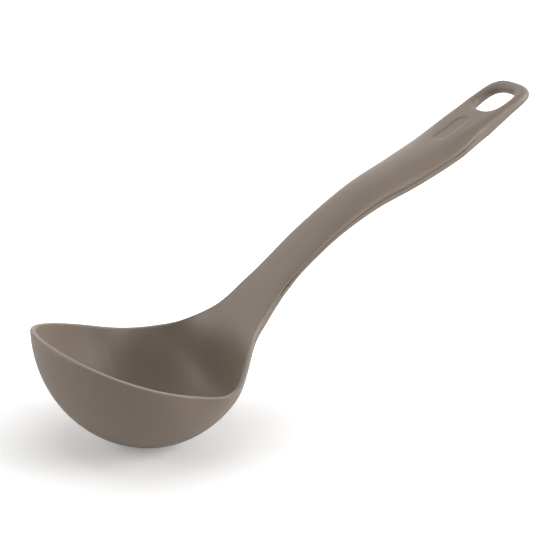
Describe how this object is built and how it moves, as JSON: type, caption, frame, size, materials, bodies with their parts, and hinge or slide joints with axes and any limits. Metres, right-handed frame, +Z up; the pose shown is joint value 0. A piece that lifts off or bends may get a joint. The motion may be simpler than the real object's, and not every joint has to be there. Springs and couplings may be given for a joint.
{
  "type": "soup ladle",
  "caption": "Soup ladle with a deep round bowl, a high front lip, a slim S-curved handle closed underneath by a cover, and a rounded-square hanging eye.",
  "frame": {"origin": "middle of the small flat under the bowl, on which the bowl rests upright", "axes": "+Z up, +X from the bowl towards the handle, Y across the ladle, which is symmetric about the XZ plane"},
  "size_m": [0.2439, 0.0924, 0.1349],
  "materials": {
    "body": "satin taupe nylon with a fine matte grain",
    "cover": "satin taupe nylon with a fine matte grain"
  },
  "bodies": {
    "root": {"ladle_body": "body", "handle_cover": "cover"}
  },
  "joints": []
}
